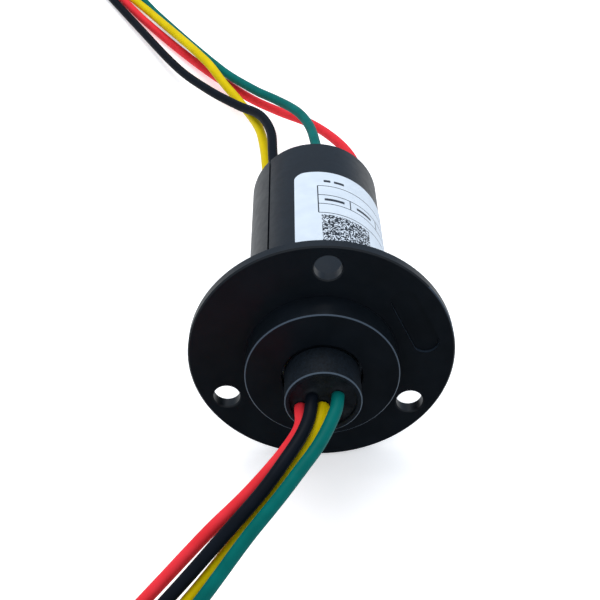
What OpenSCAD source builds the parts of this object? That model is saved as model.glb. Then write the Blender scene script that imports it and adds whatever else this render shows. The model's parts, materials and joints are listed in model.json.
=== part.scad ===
// Capsule slip ring with a mounting flange, lying on its flange rim and on the rear rim of its barrel.
// Pieces are drawn about the rotor axis: z runs from the barrel to the shaft end, and z = 0 is the
// flange's front face. placed() then lays them on the surface, shaft end towards -Y.

/* [Mounting flange] */
// Diameter of the flange
flange_d = 44.5; // [42:0.5:50]
// Thickness of the flange
flange_t = 2.1; // [1.8:0.1:3]
// Pitch circle of the three mounting holes
hole_pcd = 36.3; // [35:0.1:37]
// Diameter of a mounting hole
hole_d = 4.6; // [3:0.1:5.5]
// Angle of the first mounting hole
hole_start = 88; // [60:1:120]
// Length of the shallow moulded pocket beside the boss
pocket_len = 13.6; // [8:0.2:14]
// Width of that pocket
pocket_w = 4.3; // [3:0.1:5]
// Depth of that pocket
pocket_depth = 0.6; // [0.2:0.1:0.8]

/* [Boss and barrel] */
// Diameter of the front boss
boss_d = 25.4; // [25:0.1:28]
// Height of the boss above the flange
boss_h = 4.8; // [4.8:0.1:8]
// Diameter of the barrel
barrel_d = 25.3; // [25:0.1:27]
// Length of the barrel behind the flange
barrel_len = 50.2; // [50.2:0.2:60]
// Angle of the seam between the two barrel shells
seam_angle = 136; // [120:1:150]
// Width of the open seam groove
seam_w = 0.45; // [0.2:0.05:0.8]

/* [Label] */
// Angle at which the label starts
label_start = 110; // [90:1:130]
// Angle that the label wraps round
label_wrap = 150; // [60:1:150]
// Length of the label along the barrel
label_len = 26; // [15:1:35]
// Radius of the label's corners
label_corner = 2.2; // [0.5:0.1:3]

/* [Rotor] */
// Diameter of the shaft end
shaft_d = 12.4; // [12.2:0.1:13]
// How far the shaft stands out of the boss
shaft_out = 6.2; // [4:0.1:12]
// Bore of the shaft end
shaft_bore = 10.8; // [9:0.1:11]
// Depth of the resin face inside the shaft end
resin_recess = 0.9; // [0.5:0.1:3]
// Distance between contact rings
ring_pitch = 7.4; // [7:0.1:7.4]
// Width of a contact ring
ring_w = 4.4; // [4:0.1:5]
// Diameter of a contact ring
ring_d = 15.2; // [14:0.1:15.6]
// Diameter of the insulating barriers
barrier_d = 17.6; // [17:0.1:18.2]

/* [Leads] */
// Diameter of a lead over its insulation
lead_d = 2.1; // [1.6:0.1:2.1]

/* [Hidden] */

$fn = 96;
black_plastic = "#161c24";
shaft_plastic = "#1e2832";
label_white = "#e1ecf8";
bearing_steel = "#b8bcc0";
cage_brass = "#b09050";
ring_gold = "#d8b060";
barrier_white = "#d9d4c4";
brush_gold = "#e0c070";
block_green = "#2c5a3c";
resin_black = "#14161a";
wire_red = "#ee3a3e";
wire_black = "#182028";
wire_yellow = "#e6d800";
wire_green = "#008078";
coil_grey = "#40484c";
tie_black = "#101214";

eps = 0.05;          // clearance between pieces that turn against each other
edge = 0.25;         // small chamfer on moulded edges
fine_edge = 0.15;    // chamfer on the rims of the boss and of the shaft end
rim = 0.4;           // chamfer on the barrel's rear rim

flange_r = flange_d / 2;
boss_r = boss_d / 2;
barrel_r = barrel_d / 2;
shaft_r = shaft_d / 2;
tip_z = boss_h + shaft_out;
tail_z = -flange_t - barrel_len;

// Barrel wall: an outer and an inner layer, lapped at the seams
lap_r = 11.9;        // radius where the layers meet
bore_r = 11.25;      // bore of the barrel
spigot_r = 11.7;     // flange spigot that the shells close round
spigot_len = 5;
shell_z = 0.3 - flange_t;    // the shells start in a shallow register in the flange's back face
lap_turn = 4;        // how far the inner layer is turned past the outer one
seam_half = asin(seam_w / barrel_d);
cover_stop = 10.9;   // inner rib that the rear cover rests against

// Front bearing 12 x 21 x 5 and rear bearing 8 x 14 x 4
front_race = [6, 10.5, 5];
rear_race = [4, 7, 4];
front_race_z = boss_h - 1.5 - front_race[2];
race_relief = 0.4;                            // room that the turning race has beside a shoulder
cover_t = 3;
cover_z = tail_z + 0.6;                       // outer face of the rear cover
rear_race_z = cover_z + cover_t + 0.3;
circlip_t = 0.95;
circlip_z = front_race_z - eps - circlip_t;   // both circlips sit behind the front bearing

// Contact stack on the sleeve of the shaft
sleeve_r = 5;
barrier_w = ring_pitch - ring_w;
stack_z = -6.8;                               // shoulder that the first barrier rests on
stack_end = stack_z - 4 * ring_pitch - barrier_w;
collar_w = 3;
groove_r = ring_d / 2 - 0.45;                 // bottom of a V groove
groove_off = 0.95;                            // grooves lie either side of the ring's middle
brush_r = 0.3;
brush_line = groove_r + brush_r * sqrt(2) + 0.03;
block_in = 9.4;
block_out = bore_r - eps;
block_half = 38;                              // half the angle that a brush block covers
block_end = -flange_t - spigot_len - 0.2;     // the blocks end just behind the spigot
block_left = seam_angle + 91;
block_right = seam_angle - 89;

function ring_z(k) = stack_z - barrier_w - ring_w / 2 - (k - 1) * ring_pitch;

// Leads leave through the shaft's resin face and through four holes in the rear cover
rear_exit_r = 9.6;
rear_exit_angles = [8, 150, 180, 87];         // red, black, yellow, green

// How the part lies: both rims touch the surface, and the origin is below the middle of its box
tilt = atan((flange_r - barrel_r) / (barrel_len - rim + edge));
origin_z = flange_r * cos(tilt) + (flange_t - edge) * sin(tilt);
front_y = -(shaft_r - fine_edge) * sin(tilt) - tip_z * cos(tilt);
rear_y = (barrel_r - rim) * sin(tilt) - tail_z * cos(tilt);
origin_y = -(front_y + rear_y) / 2;

module placed() {
    translate([0, origin_y, origin_z]) rotate([90 - tilt, 0, 0]) children();
}

// Routes of the leads as they lie, from the exit to the edge of the coil
front_red = [
    [-3.6, -31.4, 22.9], [-3.6, -34.9, 22.7], [-5.2, -38.2, 22.4], [-8.4, -42.3, 21.4],
    [-12.3, -46.2, 19.7], [-17.5, -50.3, 16.9], [-25.4, -56.8, 11.7], [-33.2, -63.5, 7.2],
    [-49.7, -77.8, 1.3]
];
front_black = [
    [-1.8, -31, 24.9], [-2.3, -34.8, 24.8], [-3.6, -38.3, 24.6], [-6.1, -42.3, 23.8],
    [-9.5, -46.6, 22], [-14.4, -51.3, 19], [-22.7, -58.5, 13.1], [-31.3, -65.6, 7.6],
    [-45.2, -76.9, 1.3]
];
front_yellow = [
    [0, -31.5, 23.3], [-0.7, -34.3, 23], [-2.7, -38.5, 22.5], [-5.6, -43.2, 21.3],
    [-8.6, -46.9, 19.6], [-13.2, -51.7, 16.7], [-20.7, -59.1, 11.5], [-29.5, -66.9, 6.4],
    [-41.9, -77, 1.3]
];
front_green = [
    [2.3, -31, 25.3], [1.8, -34, 25.2], [-0.8, -39.7, 24.6], [-3.7, -43.8, 23.7],
    [-7, -47.8, 22], [-11.6, -52.6, 19.1], [-19.5, -60.9, 12.7], [-28.3, -68.8, 6.8],
    [-39.3, -77.7, 1.3]
];
rear_red = [
    [9.5, 30.4, 13.7], [8.9, 41.3, 12.3], [6, 50.1, 10.8], [0, 59.7, 8.8],
    [-7.5, 68.3, 5.9], [-15, 77, 3.6], [-28.2, 93.3, 1.8], [-44.3, 114.8, 1.3],
    [-54.1, 130, 1.3]
];
rear_black = [
    [-8.3, 31, 17.1], [-8.7, 40.6, 15.7], [-9.3, 50.6, 14], [-11.9, 58.8, 12.1],
    [-17, 66.2, 9.1], [-24.2, 75.7, 6.4], [-32.7, 88.1, 4], [-45.3, 110.4, 2],
    [-58.1, 132.1, 1.3]
];
rear_yellow = [
    [-9.6, 30.1, 12.4], [-9.9, 38.5, 11.3], [-10.7, 49.6, 10], [-12.2, 58.5, 8.9],
    [-16.8, 70.5, 6.9], [-21, 79.4, 5.9], [-25.9, 88.8, 6], [-41.7, 114.6, 3],
    [-50.9, 129.1, 1.3]
];
rear_green = [
    [0.5, 31.9, 21.8], [0.1, 39.3, 20], [-1, 48.4, 17.3], [-3.5, 56.8, 14.6],
    [-7.9, 65, 11.5], [-13.5, 73.4, 8.4], [-22.2, 87, 4.8], [-40.7, 117, 1.4],
    [-48.2, 129.1, 1.3]
];

// Coils of the spare lead: middle, and height at the inner and the outer turn
front_coil_at = [-44, -94, 0];
front_coil_h = [9.5, 6.8];
rear_coil_at = [-48, 146, 0];
rear_coil_h = [7.5, 5.5];
coil_in = 8.4;
coil_out = 17.2;
coil_step = 10.6;    // radius up to which the turns stand at full height
tie_t = 0.25;
tie_angle = 14;

// Sweeps a round tube along a route, with one ring of points at each point of the route
tube_sides = 8;
function unit(v) = v / norm(v);
function heading(route, i) =
    unit(route[min(i + 1, len(route) - 1)] - route[max(i - 1, 0)]);
function tube_ring(route, i, radius) =
    let (along = heading(route, i))
    let (side = unit(cross(along, [0, 0, 1])))
    let (up = cross(side, along))
    [for (s = [0 : tube_sides - 1])
        let (a = (s + 0.5) * 360 / tube_sides)
        route[i] + radius * (cos(a) * side + sin(a) * up)];
function corner(i, s) = i * tube_sides + s % tube_sides;

module tube(route, radius) {
    last = len(route) - 1;
    rings = [for (i = [0 : last]) each tube_ring(route, i, radius)];
    walls = [
        for (i = [0 : last - 1]) for (s = [0 : tube_sides - 1]) each [
            [corner(i, s), corner(i, s + 1), corner(i + 1, s)],
            [corner(i, s + 1), corner(i + 1, s + 1), corner(i + 1, s)]
        ]
    ];
    first_cap = [for (s = [tube_sides - 1 : -1 : 0]) corner(0, s)];
    last_cap = [for (s = [0 : tube_sides - 1]) corner(last, s)];
    polyhedron(rings, concat([first_cap, last_cap], walls));
}

// Mounting flange, front boss and rear spigot, moulded in one with the bearing seat
module flange_housing() {
    seat_z = front_race_z + front_race[2];
    shoulder_r = front_race[1] - 1.5;      // touches the outer race only
    opening_r = shaft_r + 0.5;
    clip_r = front_race[1] + 0.5;
    color(black_plastic) placed() difference() {
        rotate_extrude() polygon([
            [opening_r, boss_h], [boss_r - fine_edge, boss_h], [boss_r, boss_h - fine_edge], [boss_r, 0],
            [flange_r - edge, 0], [flange_r, -edge], [flange_r, edge - flange_t],
            [flange_r - edge, -flange_t], [barrel_r + eps, -flange_t],
            [barrel_r + eps, shell_z], [spigot_r, shell_z],
            [spigot_r, -flange_t - spigot_len], [front_race[1], -flange_t - spigot_len],
            [front_race[1], circlip_z], [clip_r, circlip_z],
            [clip_r, circlip_z + circlip_t + eps], [front_race[1], circlip_z + circlip_t + eps],
            [front_race[1], seat_z], [shoulder_r, seat_z],
            [shoulder_r, seat_z + race_relief], [opening_r, seat_z + race_relief]
        ]);
        for (i = [0 : 2]) rotate([0, 0, hole_start + i * 120]) translate([hole_pcd / 2, 0, 0]) {
            translate([0, 0, -flange_t - 1]) cylinder(d = hole_d, h = flange_t + 2);
            translate([0, 0, -0.2]) cylinder(d1 = hole_d, d2 = hole_d + 0.5, h = 0.25);
        }
        flange_pocket();
    }
}

// Shallow obround pocket in the flange's front face
module flange_pocket() {
    pocket_r = 16.9;
    straight = pocket_len - pocket_w;
    rotate([0, 0, 26.5]) translate([pocket_r, 0, -pocket_depth]) linear_extrude(1) {
        square([pocket_w, straight], center = true);
        for (side = [-1, 1]) translate([0, side * straight / 2]) circle(d = pocket_w);
    }
}

// One half of the barrel. Its inner layer is turned a little, so that each seam is a lap joint.
module barrel_shell(start) {
    front_z = shell_z;
    step_z = -flange_t - spigot_len;
    stop_z = cover_z + cover_t;
    gap = asin(eps / lap_r);
    color(black_plastic) placed() {
        rotate([0, 0, start + seam_half]) rotate_extrude(angle = 180 - 2 * seam_half) polygon([
            [lap_r, front_z], [barrel_r, front_z], [barrel_r, tail_z + rim],
            [barrel_r - rim, tail_z], [lap_r, tail_z]
        ]);
        rotate([0, 0, start + lap_turn + gap]) rotate_extrude(angle = 180 - 2 * gap) polygon([
            [spigot_r, front_z], [lap_r, front_z], [lap_r, tail_z], [bore_r, tail_z],
            [bore_r, stop_z], [cover_stop, stop_z], [cover_stop, stop_z + 0.8],
            [bore_r, stop_z + 1.15], [bore_r, step_z], [spigot_r, step_z]
        ]);
    }
}

// Rear cover with the rear bearing's seat and the holes that the stator leads leave through
module rear_cover() {
    seat_end = rear_race_z + rear_race[2];
    color(black_plastic) placed() difference() {
        rotate_extrude() polygon([
            [0, cover_z], [bore_r - eps - edge, cover_z], [bore_r - eps, cover_z + edge],
            [bore_r - eps, cover_z + cover_t], [8.4, cover_z + cover_t], [8.4, seat_end],
            [rear_race[1], seat_end], [rear_race[1], rear_race_z],
            [rear_race[1] - 1, rear_race_z], [rear_race[1] - 1, cover_z + 1.8],
            [0, cover_z + 1.8]
        ]);
        for (a = rear_exit_angles) rotate([0, 0, a]) translate([rear_exit_r, 0, cover_z - 1])
            cylinder(r = lead_d / 2 + 0.1, h = cover_t + 2, $fn = 32);
    }
}

// Printed label wrapped round the barrel, with rounded corners
module label() {
    label_t = 0.12;
    tail = tail_z + 12;
    color(label_white) placed() difference() {
        rotate([0, 0, label_start - label_wrap]) rotate_extrude(angle = label_wrap)
            translate([barrel_r, tail]) square([label_t, label_len]);
        for (far = [0, 1]) for (front = [0, 1])
            rotate([0, 0, label_start - far * label_wrap])
                translate([barrel_r - 1, 0, tail + front * label_len])
                    rotate([0, 90, 0]) linear_extrude(2)
                        mirror([1 - front, 0]) mirror([0, 1 - far]) label_corner_cut();
    }
}

// What a rounded corner takes off the label. Its arc crosses both edges instead of touching them.
module label_corner_cut() {
    middle = label_corner - 0.03;
    over = 0.5;
    polygon(concat(
        [[-over, middle], [-over, -over], [middle, -over]],
        [for (a = [275 : -10 : 175]) [middle + label_corner * cos(a), middle + label_corner * sin(a)]]
    ));
}

// Deep-groove ball bearing: race = [inner radius, outer radius, width], z = its rear face
ball_gap = 0.05;
function race_mid(race) = (race[0] + race[1]) / 2;
function ball_r(race) = (race[1] - race[0]) * 0.24;

module bearing_race(race, z, r_in, r_out) {
    color(bearing_steel) placed() difference() {
        rotate_extrude() translate([r_in, z]) square([r_out - r_in, race[2]]);
        rotate_extrude() translate([race_mid(race), z + race[2] / 2])
            circle(r = ball_r(race) + ball_gap, $fn = 48);
    }
}

module bearing_outer(race, z) {
    bearing_race(race, z, race_mid(race) + 0.14 * (race[1] - race[0]), race[1]);
}

module bearing_inner(race, z) {
    bearing_race(race, z, race[0], race_mid(race) - 0.14 * (race[1] - race[0]));
}

module ball_places(race, z, count) {
    for (i = [0 : count - 1]) rotate([0, 0, i * 360 / count])
        translate([race_mid(race), 0, z + race[2] / 2]) children();
}

module bearing_balls(race, z, count) {
    color(bearing_steel) placed() ball_places(race, z, count) sphere(r = ball_r(race), $fn = 32);
}

module bearing_cage(race, z, count) {
    half_wall = 0.09 * (race[1] - race[0]);
    cage_w = race[2] * 0.62;
    color(cage_brass) placed() difference() {
        rotate_extrude() translate([race_mid(race) - half_wall, z + (race[2] - cage_w) / 2])
            square([2 * half_wall, cage_w]);
        ball_places(race, z, count) rotate([0, 90, 0])
            cylinder(r = ball_r(race) + ball_gap, h = 4 * half_wall, center = true, $fn = 32);
    }
}

// Circlips: an internal one in the bearing seat and an external one on the shaft
module circlip(r_in, r_out, gap_angle) {
    color(bearing_steel) placed() rotate([0, 0, gap_angle / 2 - 90])
        rotate_extrude(angle = 360 - gap_angle)
            translate([r_in, circlip_z]) square([r_out - r_in, circlip_t]);
}

// Hollow rotor shaft: collar outside the boss, bearing seat, ring sleeve and rear journal
module rotor_shaft() {
    seat_r = front_race[0];
    shoulder_z = front_race_z + front_race[2] + eps;
    groove_bottom = shaft_r - 0.4;         // dust groove where the shaft enters the boss
    clip_r = seat_r - 0.4;
    journal_z = stack_end - collar_w - 0.1;
    color(shaft_plastic) placed() rotate_extrude() polygon([
        [shaft_bore / 2, tip_z - fine_edge], [shaft_bore / 2 + fine_edge, tip_z],
        [shaft_r - fine_edge, tip_z], [shaft_r, tip_z - fine_edge],
        [shaft_r, boss_h], [groove_bottom, boss_h], [groove_bottom, boss_h - 0.6],
        [shaft_r - eps, boss_h - 0.6], [shaft_r - eps, shoulder_z], [seat_r, shoulder_z],
        [seat_r, circlip_z + circlip_t + eps], [clip_r, circlip_z + circlip_t + eps],
        [clip_r, circlip_z], [seat_r, circlip_z], [seat_r, stack_z], [sleeve_r, stack_z],
        [sleeve_r, journal_z], [rear_race[0], journal_z], [rear_race[0], rear_race_z - 0.2],
        [0, rear_race_z - 0.2], [0, journal_z - 0.8], [3.6, journal_z - 0.8], [3.6, 5],
        [shaft_bore / 2, 5]
    ]);
}

// Resin that seals the leads into the shaft end
module rotor_resin() {
    color(resin_black) placed() translate([0, 0, 5])
        cylinder(d = shaft_bore, h = tip_z - resin_recess - 5);
}

// Collar that holds the contact stack on the sleeve
module stack_collar() {
    color(shaft_plastic) placed() rotate_extrude() polygon([
        [sleeve_r, stack_end], [7.5, stack_end], [7.5, stack_end - collar_w + edge],
        [7.5 - edge, stack_end - collar_w], [sleeve_r, stack_end - collar_w]
    ]);
}

// Contact ring with two V grooves, one for the brushes of each side
module contact_ring(k) {
    ring_r = ring_d / 2;
    half = ring_w / 2;
    dip = ring_r - groove_r;
    color(ring_gold) placed() rotate_extrude() translate([0, ring_z(k)]) polygon([
        [sleeve_r, -half], [ring_r, -half],
        [ring_r, -groove_off - dip], [groove_r, -groove_off], [ring_r, dip - groove_off],
        [ring_r, groove_off - dip], [groove_r, groove_off], [ring_r, groove_off + dip],
        [ring_r, half], [sleeve_r, half]
    ]);
}

// Insulating barrier between rings
module barrier(k) {
    barrier_r = barrier_d / 2;
    z = stack_z - barrier_w - (k - 1) * ring_pitch;
    color(barrier_white) placed() rotate_extrude() translate([0, z]) polygon([
        [sleeve_r, 0], [barrier_r - edge, 0], [barrier_r, edge], [barrier_r, barrier_w - edge],
        [barrier_r - edge, barrier_w], [sleeve_r, barrier_w]
    ]);
}

// Brush block that lies against the barrel's bore, opposite its twin
module brush_block(middle) {
    color(block_green) placed() rotate([0, 0, middle - block_half])
        rotate_extrude(angle = 2 * block_half)
            translate([block_in, stack_end]) square([block_out - block_in, block_end - stack_end]);
}

// Brush: two sprung wires that leave the block and touch the ring on both sides
module brush(middle, k, groove) {
    touch = 69;          // angle from the block's middle to where a wire touches the ring
    reach = 6.8;         // from there back into the block
    tail = 2.5;          // and on past the ring
    color(brush_gold) placed() translate([0, 0, ring_z(k) + groove * groove_off])
        for (side = [-1, 1]) rotate([0, 0, middle + side * touch])
            translate([brush_line, side * tail, 0]) rotate([side * 90, 0, 0])
                cylinder(r = brush_r, h = tail + reach, $fn = 24);
}

// Insulated conductors inside the hollow shaft, one to each ring
module rotor_conductors() {
    color(wire_red) placed() for (k = [1 : 4]) rotate([0, 0, 45 + 90 * k])
        translate([2.3, 0, ring_z(k)]) cylinder(d = lead_d, h = 5 - ring_z(k), $fn = 32);
}

// Conductors from the brush blocks out through the rear cover
module stator_conductors() {
    inner_z = stack_end - 2;
    color(wire_black) placed() for (a = rear_exit_angles) rotate([0, 0, a])
        translate([rear_exit_r, 0, cover_z - 0.1])
            cylinder(d = lead_d, h = inner_z - cover_z, $fn = 32);
}

module lead(route, shade) {
    color(shade) tube(route, lead_d / 2);
}

// Outline of a coil's section, grown by a margin for the tie
module coil_section(height, grow) {
    polygon([
        [coil_in - grow, tie_t - grow], [coil_out + grow, tie_t - grow],
        [coil_out + grow, height[1] + grow], [coil_step + grow, height[0] + grow],
        [coil_in - grow, height[0] + grow]
    ]);
}

module coil(at, height) {
    color(coil_grey) translate(at) rotate_extrude() coil_section(height, 0);
}

module tie(at, height, middle) {
    color(tie_black) translate(at) rotate([0, 0, middle - tie_angle / 2])
        rotate_extrude(angle = tie_angle) difference() {
            coil_section(height, tie_t);
            coil_section(height, 0);
        }
}

flange_housing();
barrel_shell(seam_angle);  // barrel_shell_left
barrel_shell(seam_angle + 180);  // barrel_shell_right
rear_cover();
label();
bearing_outer(front_race, front_race_z);  // front_bearing_outer
bearing_inner(front_race, front_race_z);  // front_bearing_inner
bearing_balls(front_race, front_race_z, 11);  // front_bearing_balls
bearing_cage(front_race, front_race_z, 11);  // front_bearing_cage
bearing_outer(rear_race, rear_race_z);  // rear_bearing_outer
bearing_inner(rear_race, rear_race_z);  // rear_bearing_inner
bearing_balls(rear_race, rear_race_z, 10);  // rear_bearing_balls
bearing_cage(rear_race, rear_race_z, 10);  // rear_bearing_cage
circlip(9.2, front_race[1] + 0.4, 30);  // bore_circlip
circlip(front_race[0] - 0.3, 7.2, 40);  // shaft_circlip
rotor_shaft();
rotor_resin();
stack_collar();
rotor_conductors();
stator_conductors();
for (k = [1 : 4]) contact_ring(k);
for (k = [1 : 5]) barrier(k);
brush_block(block_left);  // brush_block_left
brush_block(block_right);  // brush_block_right
for (k = [1 : 4]) brush(block_left, k, 1);
for (k = [1 : 4]) brush(block_right, k, -1);
lead(front_red, wire_red);  // front_lead_red
lead(front_black, wire_black);  // front_lead_black
lead(front_yellow, wire_yellow);  // front_lead_yellow
lead(front_green, wire_green);  // front_lead_green
lead(rear_red, wire_red);  // rear_lead_red
lead(rear_black, wire_black);  // rear_lead_black
lead(rear_yellow, wire_yellow);  // rear_lead_yellow
lead(rear_green, wire_green);  // rear_lead_green
coil(front_coil_at, front_coil_h);  // front_coil
coil(rear_coil_at, rear_coil_h);  // rear_coil
tie(front_coil_at, front_coil_h, -50);  // front_tie
tie(rear_coil_at, rear_coil_h, 30);  // rear_tie
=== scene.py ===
import json
import math

import bmesh
import bpy
from mathutils import Matrix, Quaternion, Vector, geometry


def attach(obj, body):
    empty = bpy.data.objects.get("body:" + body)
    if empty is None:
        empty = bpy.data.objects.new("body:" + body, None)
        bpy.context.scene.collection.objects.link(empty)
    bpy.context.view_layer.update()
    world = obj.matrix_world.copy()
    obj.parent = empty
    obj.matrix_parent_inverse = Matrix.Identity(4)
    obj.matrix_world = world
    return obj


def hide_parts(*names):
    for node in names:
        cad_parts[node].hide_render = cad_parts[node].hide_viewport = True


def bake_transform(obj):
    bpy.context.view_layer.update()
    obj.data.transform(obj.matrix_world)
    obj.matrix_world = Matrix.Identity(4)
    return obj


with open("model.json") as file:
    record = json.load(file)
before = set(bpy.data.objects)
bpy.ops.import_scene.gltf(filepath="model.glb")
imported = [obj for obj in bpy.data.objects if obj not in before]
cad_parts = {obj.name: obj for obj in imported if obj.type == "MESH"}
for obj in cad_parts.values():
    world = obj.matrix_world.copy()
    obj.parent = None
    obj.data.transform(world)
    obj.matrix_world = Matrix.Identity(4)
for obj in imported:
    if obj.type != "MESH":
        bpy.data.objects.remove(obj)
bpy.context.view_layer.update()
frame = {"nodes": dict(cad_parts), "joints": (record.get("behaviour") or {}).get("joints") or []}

MM = 0.001
nodes = frame["nodes"]
joint = frame["joints"][0]

# The rotor axis gives the part's own axes: z towards the shaft end, x to the right, y up
axis_z = Vector(joint["axis"]).normalized()
axis_x = Vector((1, 0, 0))
axis_y = axis_z.cross(axis_x)
axis_origin = Vector(joint["pos_m"])
axis_frame = Matrix.Translation(axis_origin) @ Matrix((axis_x, axis_y, axis_z)).transposed().to_4x4()
to_axis = axis_frame.inverted()


# ---------------------------------------------------------------- camera

def place_camera():
    """Looks down on the shaft end from in front, with a slight roll."""
    camera = bpy.data.objects.new("camera", bpy.data.cameras.new("camera"))
    bpy.context.scene.collection.objects.link(camera)
    camera.location = Vector((-6.11, -131.1, 155.2)) * MM
    aim = Vector((-3.46, -7.63, 22.2)) * MM
    roll = Quaternion((0, 0, 1), math.radians(0.97))
    camera.rotation_mode = "QUATERNION"
    camera.rotation_quaternion = (aim - camera.location).to_track_quat("-Z", "Y") @ roll
    camera.data.sensor_width = 36
    camera.data.lens = 62.18
    camera.data.clip_start = 0.01
    camera.data.clip_end = 20
    bpy.context.scene.camera = camera


place_camera()


# ---------------------------------------------------------------- mesh helpers

def mesh_object(name, points, faces, material=None, smooth=True):
    """A new mesh object at the origin, with its place in its mesh."""
    mesh = bpy.data.meshes.new(name)
    mesh.from_pydata([tuple(p) for p in points], [], faces)
    mesh.polygons.foreach_set("use_smooth", [smooth] * len(mesh.polygons))
    mesh.update()
    made = bpy.data.objects.new(name, mesh)
    bpy.context.scene.collection.objects.link(made)
    if material:
        mesh.materials.append(material)
    return made


def face_out(made):
    """Turns the faces of a closed mesh outwards."""
    work = bmesh.new()
    work.from_mesh(made.data)
    bmesh.ops.remove_doubles(work, verts=work.verts, dist=1e-7)
    bmesh.ops.recalc_face_normals(work, faces=work.faces)
    work.to_mesh(made.data)
    work.free()
    return made


def ring_faces(rings, sides):
    """Quads between neighbouring rings of points, and one many-sided face at each end."""
    walls = [
        (i * sides + s, i * sides + (s + 1) % sides, (i + 1) * sides + (s + 1) % sides, (i + 1) * sides + s)
        for i in range(rings - 1) for s in range(sides)
    ]
    first = tuple(range(sides - 1, -1, -1))
    last = tuple((rings - 1) * sides + s for s in range(sides))
    return walls + [first, last]


def directions(path):
    """The heading at each point of a path, and a sideways direction that turns as little as it can."""
    last = len(path) - 1
    headings = [(path[min(i + 1, last)] - path[max(i - 1, 0)]).normalized() for i in range(last + 1)]
    side = headings[0].orthogonal().normalized()
    sides = []
    for heading in headings:
        side = (side - heading * side.dot(heading)).normalized()
        sides.append(side)
    return headings, sides


# ---------------------------------------------------------------- leads: routes and coils

LEAD_D = 2.1 * MM
LEAD_LENGTH = 0.25
TIP_LENGTH = 6 * MM
TURN_RISE = 2.45 * MM      # height that a lead gains in one turn of its coil
LEAD_Z = 1.3 * MM          # height of a lead's middle where it lies on the table

# Routes in millimetres from the exit to the coil, the same points as the part's own tubes
FRONT_ROUTES = {
    "red": [
        (-3.6, -31.4, 22.9), (-3.6, -34.9, 22.7), (-5.2, -38.2, 22.4), (-8.4, -42.3, 21.4),
        (-12.3, -46.2, 19.7), (-17.5, -50.3, 16.9), (-25.4, -56.8, 11.7), (-33.2, -63.5, 7.2),
        (-49.7, -77.8, 1.3),
    ],
    "black": [
        (-1.8, -31, 24.9), (-2.3, -34.8, 24.8), (-3.6, -38.3, 24.6), (-6.1, -42.3, 23.8),
        (-9.5, -46.6, 22), (-14.4, -51.3, 19), (-22.7, -58.5, 13.1), (-31.3, -65.6, 7.6),
        (-45.2, -76.9, 1.3),
    ],
    "yellow": [
        (0, -31.5, 23.3), (-0.7, -34.3, 23), (-2.7, -38.5, 22.5), (-5.6, -43.2, 21.3),
        (-8.6, -46.9, 19.6), (-13.2, -51.7, 16.7), (-20.7, -59.1, 11.5), (-29.5, -66.9, 6.4),
        (-41.9, -77, 1.3),
    ],
    "green": [
        (2.3, -31, 25.3), (1.8, -34, 25.2), (-0.8, -39.7, 24.6), (-3.7, -43.8, 23.7),
        (-7, -47.8, 22), (-11.6, -52.6, 19.1), (-19.5, -60.9, 12.7), (-28.3, -68.8, 6.8),
        (-39.3, -77.7, 1.3),
    ],
}
REAR_ROUTES = {
    "red": [
        (9.5, 30.4, 13.7), (8.9, 41.3, 12.3), (6, 50.1, 10.8), (0, 59.7, 8.8),
        (-7.5, 68.3, 5.9), (-15, 77, 3.6), (-28.2, 93.3, 1.8), (-44.3, 114.8, 1.3),
        (-54.1, 130, 1.3),
    ],
    "black": [
        (-8.3, 31, 17.1), (-8.7, 40.6, 15.7), (-9.3, 50.6, 14), (-11.9, 58.8, 12.1),
        (-17, 66.2, 9.1), (-24.2, 75.7, 6.4), (-32.7, 88.1, 4), (-45.3, 110.4, 2),
        (-58.1, 132.1, 1.3),
    ],
    "yellow": [
        (-9.6, 30.1, 12.4), (-9.9, 38.5, 11.3), (-10.7, 49.6, 10), (-12.2, 58.5, 8.9),
        (-16.8, 70.5, 6.9), (-21, 79.4, 5.9), (-25.9, 88.8, 6), (-41.7, 114.6, 3),
        (-50.9, 129.1, 1.3),
    ],
    "green": [
        (0.5, 31.9, 21.8), (0.1, 39.3, 20), (-1, 48.4, 17.3), (-3.5, 56.8, 14.6),
        (-7.9, 65, 11.5), (-13.5, 73.4, 8.4), (-22.2, 87, 4.8), (-40.7, 117, 1.4),
        (-48.2, 129.1, 1.3),
    ],
}
# Each coil: middle, the way the leads come in, the way they turn (+1 anticlockwise) and their radii, in mm
FRONT_COIL = {
    "middle": (-44, -94), "heading": (-0.77, -0.64), "turn": 1,
    "radii": {"green": 9.5, "yellow": 11.7, "black": 13.9, "red": 16.1},
}
REAR_COIL = {
    "middle": (-48, 146), "heading": (-0.55, 0.835), "turn": -1,
    "radii": {"green": 9.5, "yellow": 11.7, "red": 13.9, "black": 16.1},
}


def smooth_route(points, end_heading, steps=6):
    """A smooth curve through a route's points, which ends in the given direction."""
    last = len(points) - 1
    knots = [0.0]
    for a, b in zip(points, points[1:]):
        knots.append(knots[-1] + (b - a).length)
    slopes = [
        (points[min(i + 1, last)] - points[max(i - 1, 0)]) / (knots[min(i + 1, last)] - knots[max(i - 1, 0)])
        for i in range(last)
    ]
    slopes.append(end_heading)
    path = []
    for i in range(last):
        span = knots[i + 1] - knots[i]
        for k in range(steps):
            t = k / steps
            path.append(
                points[i] * (2 * t ** 3 - 3 * t ** 2 + 1) + points[i + 1] * (3 * t ** 2 - 2 * t ** 3)
                + slopes[i] * (span * (t ** 3 - 2 * t ** 2 + t)) + slopes[i + 1] * (span * (t ** 3 - t ** 2))
            )
    return path + [points[-1]]


def path_length(path):
    return sum((b - a).length for a, b in zip(path, path[1:]))


def coil_point(coil, radius, angle, height):
    middle = Vector((*coil["middle"], 0)) * MM
    return middle + Vector((radius * math.cos(angle), radius * math.sin(angle), height))


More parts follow.
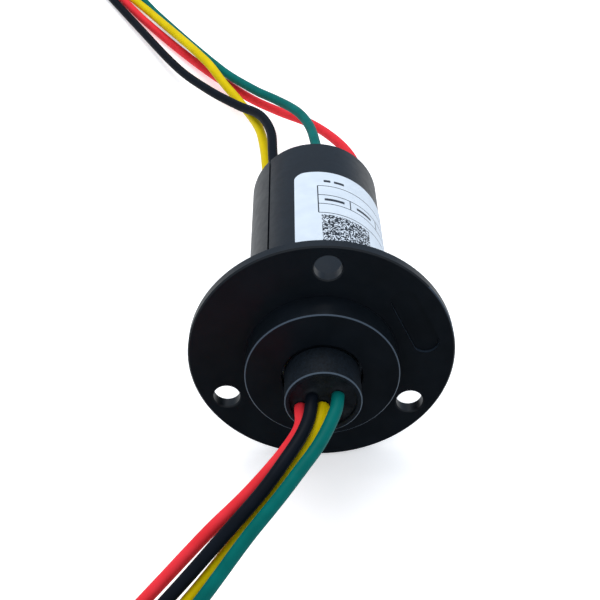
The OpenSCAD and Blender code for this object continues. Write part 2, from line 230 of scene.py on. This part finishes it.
def lead_path(route, coil, colour):
    """The middle line of one lead, from its exit through its turns, and the line of its bare tip."""
    heading = Vector((*coil["heading"], 0)).normalized()
    radius = coil["radii"][colour] * MM
    turn = coil["turn"]
    start = math.atan2(-turn * heading.x, turn * heading.y)
    touch = coil_point(coil, radius, start, LEAD_Z)
    path = smooth_route([Vector(p) * MM for p in route] + [touch], heading)
    path = [Vector((p.x, p.y, max(p.z, LEAD_Z))) for p in path]
    left = LEAD_LENGTH - path_length(path)
    per_radian = math.hypot(radius, TURN_RISE / math.tau)
    steps = math.ceil(left / per_radian / math.tau * 48)

    def wound(length):
        angle = length / per_radian
        return coil_point(coil, radius, start + turn * angle, LEAD_Z + TURN_RISE * angle / math.tau)

    path += [wound(left * k / steps) for k in range(1, steps + 1)]
    tip = [wound(left + TIP_LENGTH * k / 6) for k in range(-1, 7)]
    return path, tip


def lead_tube(name, path, material):
    """Insulation of one lead: a round tube with softened ends."""
    sides = 20
    headings, across = directions(path)
    ends = [(-0.12, 0.8), (0, 1.0)]
    rings = []
    for i, point in enumerate(path):
        up = headings[i].cross(across[i])
        profile = [(0.0, 1.0)]
        if i == 0:
            profile = ends
        if i == len(path) - 1:
            profile = [(-shift, size) for shift, size in reversed(ends)]
        for shift, size in profile:
            middle = point + headings[i] * (shift * LEAD_D)
            for s in range(sides):
                turn = s * math.tau / sides
                outward = across[i] * math.cos(turn) + up * math.sin(turn)
                rings.append(middle + outward * (size * LEAD_D / 2))
    return mesh_object(name, rings, ring_faces(len(rings) // sides, sides), material)


# ---------------------------------------------------------------- shader helpers

def linear(hex_colour):
    """An sRGB hex colour as the linear colour that a shader socket takes."""
    parts = [int(hex_colour[i:i + 2], 16) / 255 for i in (1, 3, 5)]
    return [c / 12.92 if c <= 0.04045 else ((c + 0.055) / 1.055) ** 2.4 for c in parts] + [1.0]


def add_node(tree, kind, inputs=None, **settings):
    """Adds a node with its settings. Each input is a value, or another node's output to link to."""
    made = tree.nodes.new(kind)
    for name, value in settings.items():
        setattr(made, name, value)
    for socket, value in (inputs or {}).items():
        if isinstance(value, bpy.types.NodeSocket):
            tree.links.new(value, made.inputs[socket])
        else:
            made.inputs[socket].default_value = value
    return made


def start_material(name, **constants):
    """An empty material: its tree, its shader with constant settings, and Object coordinates in metres."""
    material = bpy.data.materials.new(name)
    material.use_nodes = True
    tree = material.node_tree
    tree.nodes.clear()
    shader = add_node(tree, "ShaderNodeBsdfPrincipled", {
        socket.replace("_", " "): value for socket, value in constants.items()
    })
    add_node(tree, "ShaderNodeOutputMaterial", {"Surface": shader.outputs["BSDF"]})
    place = add_node(tree, "ShaderNodeTexCoord").outputs["Object"]
    return material, tree, shader, place


def mottle(tree, place, size_mm, low, high, detail=2.0):
    """Noise with blotches of that size in millimetres, spread over low...high: two numbers or two colours."""
    blotches = add_node(tree, "ShaderNodeTexNoise", {
        "Vector": place, "Scale": 1 / (size_mm * MM), "Detail": detail,
    }).outputs["Fac"]
    colours = isinstance(low, str)
    spread = add_node(tree, "ShaderNodeMapRange", {
        "Value": blotches, "From Min": 0.3, "From Max": 0.7,
        "To Min": 0.0 if colours else low, "To Max": 1.0 if colours else high,
    }).outputs["Result"]
    if not colours:
        return spread
    return add_node(tree, "ShaderNodeMix", {
        0: spread, 6: linear(low), 7: linear(high),
    }, data_type="RGBA").outputs[2]


def axis_places(tree, place):
    """Where a point is in the part's own axes, in millimetres: the vector, its parts, and the radius."""
    local = add_node(tree, "ShaderNodeMapping", {
        "Vector": place, "Location": axis_origin, "Rotation": axis_frame.to_euler(), "Scale": (MM, MM, MM),
    }, vector_type="TEXTURE").outputs["Vector"]
    flat = add_node(tree, "ShaderNodeVectorMath", {0: local, 1: (1, 1, 0)}, operation="MULTIPLY").outputs[0]
    radius = add_node(tree, "ShaderNodeVectorMath", {0: flat}, operation="LENGTH").outputs["Value"]
    return local, add_node(tree, "ShaderNodeSeparateXYZ", {"Vector": local}).outputs, radius


def painted_edge_highlight(tree, place, skin, highlight_colour, edge):
    """The skin colour, with a painted highlight colour on the outer edge at that radius and height in
    millimetres.
    """
    parts, radius = axis_places(tree, place)[1:]
    outer, front = [
        add_node(tree, "ShaderNodeMath", {0: reach, 1: limit - EDGE_HIGHLIGHT_W}, operation="GREATER_THAN").outputs[0]
        for reach, limit in ((radius, edge[0]), (parts["Z"], edge[1]))
    ]
    share = add_node(tree, "ShaderNodeMath", {0: outer, 1: front}, operation="MULTIPLY").outputs[0]
    return add_node(tree, "ShaderNodeMix", {
        0: share, 6: skin, 7: linear(highlight_colour),
    }, data_type="RGBA").outputs[2]


def join(tree, shader, **links):
    """Links outputs to the shader's sockets."""
    for socket, value in links.items():
        tree.links.new(value, shader.inputs[socket.replace("_", " ")])


# ---------------------------------------------------------------- materials

# Radii and heights on the rotor axis, in mm: the boss, the shaft end, and the width of an edge's painted
# highlight band
BOSS_EDGE = (12.7, 4.8)
SHAFT_EDGE = (6.2, 11.0)
EDGE_HIGHLIGHT_W = 0.2
POCKET_WALL = (15.1, 7.5, -0.3)      # the middle of the pocket in the flange, halfway down its walls
POCKET_REACH = 7.2                   # from there to its farthest wall
POCKET_HALF = 0.24                   # half of the height of the walls' painted highlight


def glass_filled_pbt():
    """Injection-moulded glass-filled PBT: near black with a blue cast and a satin gloss, with a faint
    mottle of fibres, and a painted highlight that makes the boss's edge and the pocket's walls paler."""
    material, tree, shader, place = start_material(
        "glass_filled_pbt", IOR=1.5, Specular_IOR_Level=0.28,
    )
    skin = mottle(tree, place, 5, "#090F15", "#0C131A")
    local, parts = axis_places(tree, place)[:2]
    # painted highlight: the pocket's walls are made paler, standing in for the light that they catch
    reach = add_node(tree, "ShaderNodeVectorMath", {
        0: local, 1: POCKET_WALL,
    }, operation="DISTANCE").outputs["Value"]
    near = add_node(tree, "ShaderNodeMath", {0: reach, 1: POCKET_REACH}, operation="LESS_THAN").outputs[0]
    sunk = add_node(tree, "ShaderNodeMath", {
        0: parts["Z"], 1: POCKET_WALL[2], 2: POCKET_HALF,
    }, operation="COMPARE").outputs[0]
    share = add_node(tree, "ShaderNodeMath", {0: near, 1: sunk}, operation="MULTIPLY").outputs[0]
    skin = add_node(tree, "ShaderNodeMix", {
        0: share, 6: skin, 7: linear("#2C3845"),
    }, data_type="RGBA").outputs[2]
    join(
        tree, shader,
        # painted highlight: a pale band on the boss's outer edge, standing in for the light its rim catches
        Base_Color=painted_edge_highlight(tree, place, skin, "#3E4A57", BOSS_EDGE),
        Roughness=mottle(tree, place, 1.6, 0.32, 0.4, detail=4),
        Normal=add_node(tree, "ShaderNodeBump", {
            "Height": mottle(tree, place, 0.35, 0, 1), "Distance": 0.0015 * MM,
        }).outputs["Normal"],
    )
    return material


def textured_pbt():
    """The shaft's PBT has a spark-eroded mould texture, so it is matt, with a grain of 0.35 mm, and a
    painted highlight on its end's outer edge."""
    material, tree, shader, place = start_material(
        "textured_pbt", IOR=1.5, Specular_IOR_Level=0.16,
    )
    skin = mottle(tree, place, 0.35, "#080D12", "#121B24", detail=3)
    join(
        tree, shader,
        # painted highlight: a pale band on the shaft end's outer edge, standing in for the light its rim
        # catches
        Base_Color=painted_edge_highlight(tree, place, skin, "#46525E", SHAFT_EDGE),
        Roughness=mottle(tree, place, 1.2, 0.48, 0.62),
        Normal=add_node(tree, "ShaderNodeBump", {
            "Height": mottle(tree, place, 0.35, 0, 1, detail=3), "Distance": 0.02 * MM,
        }).outputs["Normal"],
    )
    return material


def bearing_steel():
    """Ground chrome steel: bright, its gloss slightly uneven from the grinding."""
    material, tree, shader, place = start_material("ground_chrome_steel", Metallic=1.0)
    join(
        tree, shader,
        Base_Color=mottle(tree, place, 1, "#A9AEB2", "#C4C8CB"),
        Roughness=mottle(tree, place, 0.5, 0.16, 0.28, detail=4),
    )
    return material


def pressed_brass():
    """Pressed brass of the ball cages: warm yellow, with the soft gloss that tumbling leaves."""
    material, tree, shader, place = start_material("pressed_brass", Metallic=1.0)
    join(
        tree, shader,
        Base_Color=mottle(tree, place, 1.5, "#A9884C", "#C7A566"),
        Roughness=mottle(tree, place, 0.6, 0.26, 0.4),
    )
    return material


def hard_gold_plate():
    """Hard gold plate on the rings and brush wires: rich yellow, with a slightly uneven gloss."""
    material, tree, shader, place = start_material("hard_gold_plate", Metallic=1.0)
    join(
        tree, shader,
        Base_Color=mottle(tree, place, 1.2, "#D9AE58", "#EBC878"),
        Roughness=mottle(tree, place, 0.4, 0.14, 0.24),
    )
    return material


def ivory_pbt():
    """Unpigmented PBT of the barriers: ivory, satin, slightly cloudy."""
    material, tree, shader, place = start_material("ivory_pbt", IOR=1.5, Specular_IOR_Level=0.5)
    join(
        tree, shader,
        Base_Color=mottle(tree, place, 3, "#D2CCBA", "#E0DACB"),
        Roughness=mottle(tree, place, 0.8, 0.35, 0.45),
    )
    return material


def glass_epoxy_laminate():
    """Green glass-epoxy laminate of the brush blocks, with its 0.6 mm weave showing through the resin."""
    material, tree, shader, place = start_material("glass_epoxy_laminate", IOR=1.55)
    weave = add_node(tree, "ShaderNodeTexChecker", {"Vector": place, "Scale": 1 / (0.6 * MM)}).outputs["Fac"]
    join(
        tree, shader,
        Base_Color=add_node(tree, "ShaderNodeMix", {
            0: weave, 6: linear("#26523A"), 7: linear("#316145"),
        }, data_type="RGBA").outputs[2],
        Roughness=mottle(tree, place, 0.7, 0.22, 0.34),
    )
    return material


def potting_epoxy():
    """Cast black epoxy: satin where it levelled, dull and uneven where the needle dragged it."""
    material, tree, shader, place = start_material("potting_epoxy", IOR=1.5, Specular_IOR_Level=0.2)
    join(
        tree, shader,
        Base_Color=mottle(tree, place, 1.5, "#0C1015", "#161C22"),
        Roughness=mottle(tree, place, 0.9, 0.35, 0.6, detail=4),
        Normal=add_node(tree, "ShaderNodeBump", {
            "Height": mottle(tree, place, 0.5, 0, 1, detail=4), "Distance": 0.04 * MM,
        }).outputs["Normal"],
    )
    return material


def lead_insulation(colour, dark, light):
    """Extruded PVC over stranded wire: satin, in a deep even colour, and it rises and
    falls a little where the strands below it show through."""
    material, tree, shader, place = start_material(
        f"pvc_insulation_{colour}", IOR=1.5, Specular_IOR_Level=0.06,
    )
    join(
        tree, shader,
        Base_Color=mottle(tree, place, 4, dark, light),
        Roughness=mottle(tree, place, 2.5, 0.42, 0.52),
        Normal=add_node(tree, "ShaderNodeBump", {
            "Height": mottle(tree, place, 1.1, 0, 1), "Distance": 0.012 * MM,
        }).outputs["Normal"],
    )
    return material


def tinned_copper():
    """Tinned copper strands: greyish silver with a soft gloss."""
    material, tree, shader, place = start_material("tinned_copper", Metallic=1.0)
    join(
        tree, shader,
        Base_Color=mottle(tree, place, 0.6, "#B4B2AC", "#D0CFCB"),
        Roughness=mottle(tree, place, 0.4, 0.25, 0.4),
    )
    return material


def tie_pvc():
    """Soft PVC ribbon of the twist ties: black, dull and finely creased."""
    material, tree, shader, place = start_material("twist_tie_pvc", IOR=1.5, Specular_IOR_Level=0.4)
    join(
        tree, shader,
        Base_Color=mottle(tree, place, 2, "#101317", "#1A1E24"),
        Roughness=mottle(tree, place, 0.8, 0.4, 0.55),
        Normal=add_node(tree, "ShaderNodeBump", {
            "Height": mottle(tree, place, 0.4, 0, 1), "Distance": 0.02 * MM,
        }).outputs["Normal"],
    )
    return material


# Print on the label, in millimetres from its first edge round the barrel and along it from the
# flange's front face: (from, to, from, to) for a bar or a line
LABEL_EDGE = math.radians(110)
LABEL_RADIUS = 12.77
LINE_W = 0.22
TABLE_X = 4.4          # the table's ruled lines start here
TABLE_END = 32.0
TABLE_ROWS = (-35.1, -31.8, -28.7, -25.6)
TABLE_RULES = ((TABLE_X, 0, 3), (10.6, 1, 2), (17.2, 1, 2))     # place, first row line, last row line
WORD_BARS = (
    (5.6, 9.4, -30.6, -29.8), (12.0, 15.6, -30.6, -29.8), (5.6, 6.9, -37.3, -36.5), (7.6, 9.6, -37.3, -36.5),
)
CODE_BLOCK = (4.9, 14.5, -24.9, -15.3)
CODE_CELL = 0.22
CODE_BLANK = 0.36      # how much of the block stays white


def printed_label():
    """Matt white polyester film with thermal print: a ruled table, plain bars where words would
    stand, and a block of random cells."""
    material, tree, shader, place = start_material("printed_polyester", IOR=1.5, Specular_IOR_Level=0.3)
    parts = axis_places(tree, place)[1]
    angle = add_node(tree, "ShaderNodeMath", {0: parts["Y"], 1: parts["X"]}, operation="ARCTAN2").outputs[0]
    across = add_node(tree, "ShaderNodeMath", {
        0: angle, 1: -LABEL_RADIUS, 2: LABEL_EDGE * LABEL_RADIUS,
    }, operation="MULTIPLY_ADD").outputs[0]
    unrolled = add_node(tree, "ShaderNodeCombineXYZ", {"X": across, "Y": parts["Z"]}).outputs["Vector"]

    def printed(x0, x1, z0, z1):
        """1 inside that block of the label."""
        offset = add_node(tree, "ShaderNodeVectorMath", {
            0: unrolled, 1: ((x0 + x1) / 2, (z0 + z1) / 2, 0),
        }, operation="SUBTRACT").outputs["Vector"]
        shape = add_node(tree, "ShaderNodeVectorMath", {
            0: offset, 1: (2 / (x1 - x0), 2 / (z1 - z0), 0),
        }, operation="MULTIPLY").outputs["Vector"]
        size = add_node(tree, "ShaderNodeVectorMath", {0: shape}, operation="ABSOLUTE").outputs["Vector"]
        sides = add_node(tree, "ShaderNodeSeparateXYZ", {"Vector": size}).outputs
        far = add_node(tree, "ShaderNodeMath", {0: sides["X"], 1: sides["Y"]}, operation="MAXIMUM").outputs[0]
        return add_node(tree, "ShaderNodeMath", {0: far, 1: 1.0}, operation="LESS_THAN").outputs[0]

    half = LINE_W / 2
    blocks = [(TABLE_X, TABLE_END, z - half, z + half) for z in TABLE_ROWS]
    blocks += [(x - half, x + half, TABLE_ROWS[first], TABLE_ROWS[last]) for x, first, last in TABLE_RULES]
    cells = add_node(tree, "ShaderNodeVectorMath", {
        0: unrolled, 1: (CODE_CELL, CODE_CELL, 1),
    }, operation="SNAP").outputs["Vector"]
    dice = add_node(tree, "ShaderNodeTexWhiteNoise", {
        "Vector": cells,
    }, noise_dimensions="2D").outputs["Value"]
    dark = add_node(tree, "ShaderNodeMath", {0: dice, 1: CODE_BLANK}, operation="GREATER_THAN").outputs[0]
    code = printed(*CODE_BLOCK)
    ink = add_node(tree, "ShaderNodeMath", {0: dark, 1: code}, operation="MULTIPLY").outputs[0]
    for block in blocks + list(WORD_BARS):
        ink = add_node(tree, "ShaderNodeMath", {0: ink, 1: printed(*block)}, operation="MAXIMUM").outputs[0]
    film = mottle(tree, place, 3, "#D0DAE4", "#D8E2EC")
    join(
        tree, shader,
        Base_Color=add_node(tree, "ShaderNodeMix", {
            0: ink, 6: film, 7: linear("#20262E"),
        }, data_type="RGBA").outputs[2],
        Roughness=mottle(tree, place, 1.5, 0.38, 0.5),
        Normal=add_node(tree, "ShaderNodeBump", {
            "Height": mottle(tree, place, 0.4, 0, 1), "Distance": 0.003 * MM,
        }).outputs["Normal"],
    )
    return material


INSULATION = {
    "red": lead_insulation("red", "#E12E36", "#EA3640"),
    "black": lead_insulation("black", "#0A0F16", "#0E141D"),
    "yellow": lead_insulation("yellow", "#D4B800", "#E0C600"),
    "green": lead_insulation("green", "#005C57", "#006863"),
}
PBT = glass_filled_pbt()
SHAFT_PBT = textured_pbt()
STEEL = bearing_steel()
BRASS = pressed_brass()
GOLD = hard_gold_plate()
RESIN = potting_epoxy()
TINNED = tinned_copper()
TIE_PVC = tie_pvc()
FINISHES = {
    "flange_housing": PBT, "barrel_shell": PBT, "rear_cover": PBT, "label": printed_label(),
    "front_bearing_cage": BRASS, "rear_bearing_cage": BRASS, "front_bearing": STEEL, "rear_bearing": STEEL,
    "bore_circlip": STEEL, "shaft_circlip": STEEL, "rotor_shaft": SHAFT_PBT, "stack_collar": SHAFT_PBT,
    "rotor_conductors": INSULATION["red"], "stator_conductors": INSULATION["black"],
    "contact_ring": GOLD, "barrier": ivory_pbt(), "brush_block": glass_epoxy_laminate(), "brush": GOLD,
}


def finish_nodes():
    """Gives each carried-over node the material whose name its own name starts with."""
    for name, node in nodes.items():
        found = next((finish for start, finish in FINISHES.items() if name.startswith(start)), None)
        if found:
            node.data.materials.clear()
            node.data.materials.append(found)


finish_nodes()


# ---------------------------------------------------------------- leads in place

def strand_tree():
    """Geometry Nodes: strands laid side by side and twisted round the line that they follow."""
    tree = bpy.data.node_groups.new("strand_lay", "GeometryNodeTree")
    sockets = {}
    for name, kind, way, value in (
        ("Geometry", "NodeSocketGeometry", "INPUT", None),
        ("Strand radius", "NodeSocketFloat", "INPUT", 0.12 * MM),
        ("Outer strands", "NodeSocketInt", "INPUT", 12),
        ("Twist", "NodeSocketFloat", "INPUT", math.tau * 0.4),
        ("Material", "NodeSocketMaterial", "INPUT", None),
        ("Geometry", "NodeSocketGeometry", "OUTPUT", None),
    ):
        socket = tree.interface.new_socket(name, in_out=way, socket_type=kind)
        if value is not None:
            socket.default_value = value
        sockets[name, way] = socket.identifier
    given = add_node(tree, "NodeGroupInput").outputs
    radius = given["Strand radius"]
    wall = add_node(tree, "GeometryNodeCurvePrimitiveCircle", {"Resolution": 7, "Radius": radius})
    outer = given["Outer strands"]
    half = add_node(tree, "ShaderNodeMath", {0: outer, 1: 0.5}, operation="MULTIPLY").outputs[0]
    places = [add_node(tree, "GeometryNodeMeshLine", {"Count": 1}).outputs["Mesh"]]
    for count, gap in ((half, 2.0), (outer, 3.9)):
        spread = add_node(tree, "ShaderNodeMath", {0: radius, 1: gap}, operation="MULTIPLY").outputs[0]
        circle = add_node(tree, "GeometryNodeMeshCircle", {"Vertices": count, "Radius": spread})
        places.append(circle.outputs["Mesh"])
    gathered = add_node(tree, "GeometryNodeJoinGeometry")
    for place in places:
        tree.links.new(place, gathered.inputs["Geometry"])
    section = add_node(tree, "GeometryNodeInstanceOnPoints", {
        "Points": gathered.outputs["Geometry"], "Instance": wall.outputs["Curve"],
    }).outputs["Instances"]
    section = add_node(tree, "GeometryNodeRealizeInstances", {"Geometry": section}).outputs["Geometry"]
    share = add_node(tree, "GeometryNodeSplineParameter").outputs["Factor"]
    line = add_node(tree, "GeometryNodeMeshToCurve", {"Mesh": given["Geometry"]}).outputs["Curve"]
    tilt = add_node(tree, "ShaderNodeMath", {0: share, 1: given["Twist"]}, operation="MULTIPLY").outputs[0]
    line = add_node(tree, "GeometryNodeSetCurveTilt", {"Curve": line, "Tilt": tilt}).outputs["Curve"]
    swept = add_node(tree, "GeometryNodeCurveToMesh", {
        "Curve": line, "Profile Curve": section, "Fill Caps": True,
    }).outputs["Mesh"]
    swept = add_node(tree, "GeometryNodeSetShadeSmooth", {"Geometry": swept}).outputs["Geometry"]
    solid = add_node(tree, "GeometryNodeRealizeInstances", {"Geometry": swept}).outputs["Geometry"]
    dressed = add_node(tree, "GeometryNodeSetMaterial", {"Geometry": solid, "Material": given["Material"]})
    add_node(tree, "NodeGroupOutput", {"Geometry": dressed.outputs["Geometry"]})
    return tree, sockets


def apply_nodes(base, tree, sockets, values):
    """Runs a Geometry Nodes tree on a mesh object and keeps the result as its plain mesh."""
    modifier = base.modifiers.new("nodes", "NODES")
    modifier.node_group = tree
    for name, value in values.items():
        modifier[sockets[name, "INPUT"]] = value
    graph = bpy.context.evaluated_depsgraph_get()
    made = bpy.data.meshes.new_from_object(base.evaluated_get(graph), depsgraph=graph)
    base.modifiers.remove(modifier)
    base.data = made
    return base


strand_lay, strand_sockets = strand_tree()


def line_object(name, path):
    """A mesh with one edge between each two neighbours of a path."""
    mesh = bpy.data.meshes.new(name)
    mesh.from_pydata([tuple(p) for p in path], [(i, i + 1) for i in range(len(path) - 1)], [])
    made = bpy.data.objects.new(name, mesh)
    bpy.context.scene.collection.objects.link(made)
    return made


def lay_leads(end, routes, coil):
    """The four leads of one end, each with its bare tip."""
    coil_paths = {}
    for colour, route in routes.items():
        path, tip_path = lead_path(route, coil, colour)
        lead = lead_tube(f"{end}_{colour}_insulation", path, INSULATION[colour])
        tip = line_object(f"{end}_{colour}_bare_tip", tip_path)
        apply_nodes(tip, strand_lay, strand_sockets, {"Material": TINNED})
        face_out(tip)
        if end == "front":
            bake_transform(lead)
        else:
            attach(lead, "stator")
        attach(tip, "stator")
        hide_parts(f"{end}_lead_{colour}", f"{end}_coil")
        coil_paths[colour] = path
    return coil_paths


front_paths = lay_leads("front", FRONT_ROUTES, FRONT_COIL)
rear_paths = lay_leads("rear", REAR_ROUTES, REAR_COIL)


# ---------------------------------------------------------------- ties

TIE_W = 2.6 * MM
TIE_T = 0.22 * MM
TAIL_LENGTH = 9 * MM
TAIL_DROP = 2.2 * MM
TAIL_TURNS = 2
TAIL_TWISTED = 0.75        # share of the tail that is twisted, before its ends part
TAIL_HALF_W = 0.62 * MM
TAIL_HALF_T = 0.3 * MM
TAIL_APART = 0.42 * MM     # from the tail's middle to each ribbon where they are twisted
TAIL_SPREAD = 1.3 * MM     # how much farther apart each tip ends


def tie_round(end, coil, paths, angle_deg):
    """A ribbon drawn tight round the leads of a coil, with its two ends twisted together."""
    angle = math.radians(angle_deg)
    middle = Vector((*coil["middle"], 0)) * MM
    outward = Vector((math.cos(angle), math.sin(angle), 0))
    crosswise = Vector((-outward.y, outward.x, 0))
    touched = []
    for path in paths.values():
        for a, b in zip(path, path[1:]):
            da, db = (a - middle).dot(crosswise), (b - middle).dot(crosswise)
            if da * db <= 0 and (a - middle).dot(outward) > 0 and da != db:
                p = a.lerp(b, da / (da - db)) - middle
                touched.append((p.dot(outward), p.z))
    reach = LEAD_D / 2 + TIE_T / 2
    cloud = [
        (r + reach * math.cos(t), z + reach * math.sin(t))
        for r, z in touched for t in [k * math.tau / 24 for k in range(24)]
    ]
    loop = [Vector(cloud[i]) for i in geometry.convex_hull_2d(cloud)]
    points = []
    for a, b in zip(loop, loop[1:] + loop[:1]):
        parts = max(1, round((b - a).length / (0.6 * MM)))
        points += [a.lerp(b, k / parts) for k in range(parts)]
    count = len(points)
    rings = []
    for i, p in enumerate(points):
        along = (points[(i + 1) % count] - points[i - 1]).normalized()
        normal = Vector((along.y, -along.x))
        for half_width, half_thick in ((-1, -1), (1, -1), (1, 1), (-1, 1)):
            q = p + normal * (half_thick * TIE_T / 2)
            rings.append(middle + outward * q.x + Vector((0, 0, q.y)) + crosswise * (half_width * TIE_W / 2))
    faces = [
        (i * 4 + s, i * 4 + (s + 1) % 4, (i + 1) % count * 4 + (s + 1) % 4, (i + 1) % count * 4 + s)
        for i in range(count) for s in range(4)
    ]
    band = face_out(mesh_object(f"{end}_tie_band", rings, faces, TIE_PVC))
    top = max(points, key=lambda p: p.x * 0.7 + p.y)
    root = middle + outward * top.x + Vector((0, 0, top.y))
    tail = twisted_tail(f"{end}_tie_tail", root, (outward + Vector((0, 0, 0.35))).normalized(), crosswise)
    for piece in (band, tail):
        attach(piece, "stator")
    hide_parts(f"{end}_tie")


def twisted_tail(name, root, way, crosswise):
    """The two ends of a tie, twisted round each other and let go at their tips."""
    steps = 48
    sides = 8
    up = way.cross(crosswise)
    points = []
    faces = []
    for end in (0, math.pi):
        first = len(points)
        for i in range(steps + 1):
            u = i / steps
            turn = end + math.tau * TAIL_TURNS * min(u / TAIL_TWISTED, 1)
            spread = crosswise * math.cos(turn) + up * math.sin(turn)
            flat = up * math.cos(turn) - crosswise * math.sin(turn)
            apart = TAIL_APART + TAIL_SPREAD * max(0, u - TAIL_TWISTED) / (1 - TAIL_TWISTED)
            middle = root + way * (TAIL_LENGTH * u) + spread * apart - Vector((0, 0, TAIL_DROP * u * u))
            for s in range(sides):
                t = s * math.tau / sides
                points.append(
                    middle + flat * (TAIL_HALF_W * math.cos(t)) + spread * (TAIL_HALF_T * math.sin(t))
                )
        faces += [tuple(first + corner for corner in face) for face in ring_faces(steps + 1, sides)]
    return face_out(mesh_object(name, points, faces, TIE_PVC))


tie_round("front", FRONT_COIL, front_paths, -50)
tie_round("rear", REAR_COIL, rear_paths, 30)


# ---------------------------------------------------------------- resin in the shaft end

# Millimetres: how far the resin is drawn up, and how far from there the rise fades out
RESIN_R = 5.4
BORE_LIFT = 0.28
BORE_FADE = 0.35
LEAD_LIFT = 0.32
LEAD_FADE = 0.4
LUMP_AT = (3.3, -2.9)
LUMP_LIFT = 0.36
LUMP_R = 0.9


def shaft_local_span(node):
    """The lowest and highest place of a node along the rotor axis."""
    places = [(to_axis @ v.co).z for v in nodes[node].data.vertices]
    return min(places), max(places)


def resin_face():
    """The sealing resin: level between the leads, drawn up at them and at the bore, with one lump."""
    low, high = shaft_local_span("rotor_resin")
    leads_at = [to_axis @ path[0] for path in front_paths.values()]
    lump = Vector(LUMP_AT)
    bore = RESIN_R * MM
    circles = 26
    sectors = 96
    points = []
    for i in range(circles + 1):
        r = bore * i / circles
        for s in range(sectors):
            t = s * math.tau / sectors
            x, y = r * math.cos(t), r * math.sin(t)
            lift = BORE_LIFT * math.exp(-(bore - r) / (BORE_FADE * MM))
            for lead in leads_at:
                gap = max(0, math.hypot(x - lead.x, y - lead.y) - LEAD_D / 2)
                lift += LEAD_LIFT * math.exp(-gap / (LEAD_FADE * MM))
            away = (Vector((x, y)) / MM - lump).length
            knobs = 1 + 0.5 * math.sin(9 * t) * math.sin(x / MM * 5)
            lift += LUMP_LIFT * math.exp(-(away / LUMP_R) ** 2) * knobs
            points.append(axis_frame @ Vector((x, y, high + lift * MM)))
    for s in range(sectors):
        t = s * math.tau / sectors
        points.append(axis_frame @ Vector((bore * math.cos(t), bore * math.sin(t), low)))
    faces = ring_faces(circles + 2, sectors)
    resin = face_out(mesh_object("sealing_resin", points, faces, RESIN))
    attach(resin, "rotor")
    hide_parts("rotor_resin")


resin_face()


# ---------------------------------------------------------------- table and studio

def soft_light(name, place, aim, size, watts, colour):
    light = bpy.data.objects.new(name, bpy.data.lights.new(name, "AREA"))
    bpy.context.scene.collection.objects.link(light)
    light.location = place
    light.rotation_euler = (Vector(aim) - Vector(place)).to_track_quat("-Z", "Y").to_euler()
    light.data.shape = "SQUARE"
    light.data.size = size
    light.data.energy = watts
    light.data.color = linear(colour)[:3]


def surround_colour(tree):
    """What a glossy face sees: a pale wall in front, a dimmer and bluer room behind, a bright
    ceiling, and a table that is pale behind the part and dark in front of it."""
    direction = add_node(tree, "ShaderNodeTexCoord").outputs["Generated"]
    parts = add_node(tree, "ShaderNodeSeparateXYZ", {"Vector": direction}).outputs

    def blend(way, low, high, start, end):
        """Goes from one colour to the other as that part of the direction rises from low to high."""
        share = add_node(tree, "ShaderNodeMapRange", {
            "Value": parts[way], "From Min": low, "From Max": high,
        }, interpolation_type="SMOOTHSTEP").outputs["Result"]
        start, end = [linear(c) if isinstance(c, str) else c for c in (start, end)]
        return add_node(tree, "ShaderNodeMix", {0: share, 6: start, 7: end}, data_type="RGBA").outputs[2]

    sides = blend("Y", -0.5, 0.5, "#C6CDD6", "#9FB3CC")
    sides = blend("X", -0.1, -1.0, sides, "#B9C4D2")
    sky = blend("Z", 0.35, 0.85, sides, "#DDE2E8")
    table = blend("Y", -0.5, 0.1, "#1A1F24", "#E8ECF0")
    return blend("Z", -0.16, -0.02, table, sky)


def studio():
    """A pale light table, a surround with a bright side and a dim one, and one wide softbox above."""
    reach = 9.0
    material, tree, shader, place = start_material(
        "lit_white_acrylic", Roughness=0.9, Specular_IOR_Level=0.1,
        Emission_Color=linear("#FFFFFF"), Emission_Strength=0.45,
    )
    join(tree, shader, Base_Color=mottle(tree, place, 400, "#F6F7F8", "#FAFAFB"))
    floor = mesh_object(
        "table", [(-reach, -reach, 0), (reach, -reach, 0), (reach, reach, 0), (-reach, reach, 0)],
        [(0, 1, 2, 3)], material, smooth=False,
    )
    floor.visible_glossy = False
    world = bpy.data.worlds.new("surround")
    world.use_nodes = True
    bpy.context.scene.world = world
    surround = world.node_tree
    surround.nodes.clear()
    backdrop = add_node(surround, "ShaderNodeBackground", {"Color": surround_colour(surround)})
    add_node(surround, "ShaderNodeOutputWorld", {"Surface": backdrop.outputs["Background"]})
    soft_light("key", (-0.15, 0.5, 1.15), (0, 0, 0.02), 0.9, 10.0, "#FFFFFF")
    bpy.context.scene.view_settings.view_transform = "Standard"


studio()
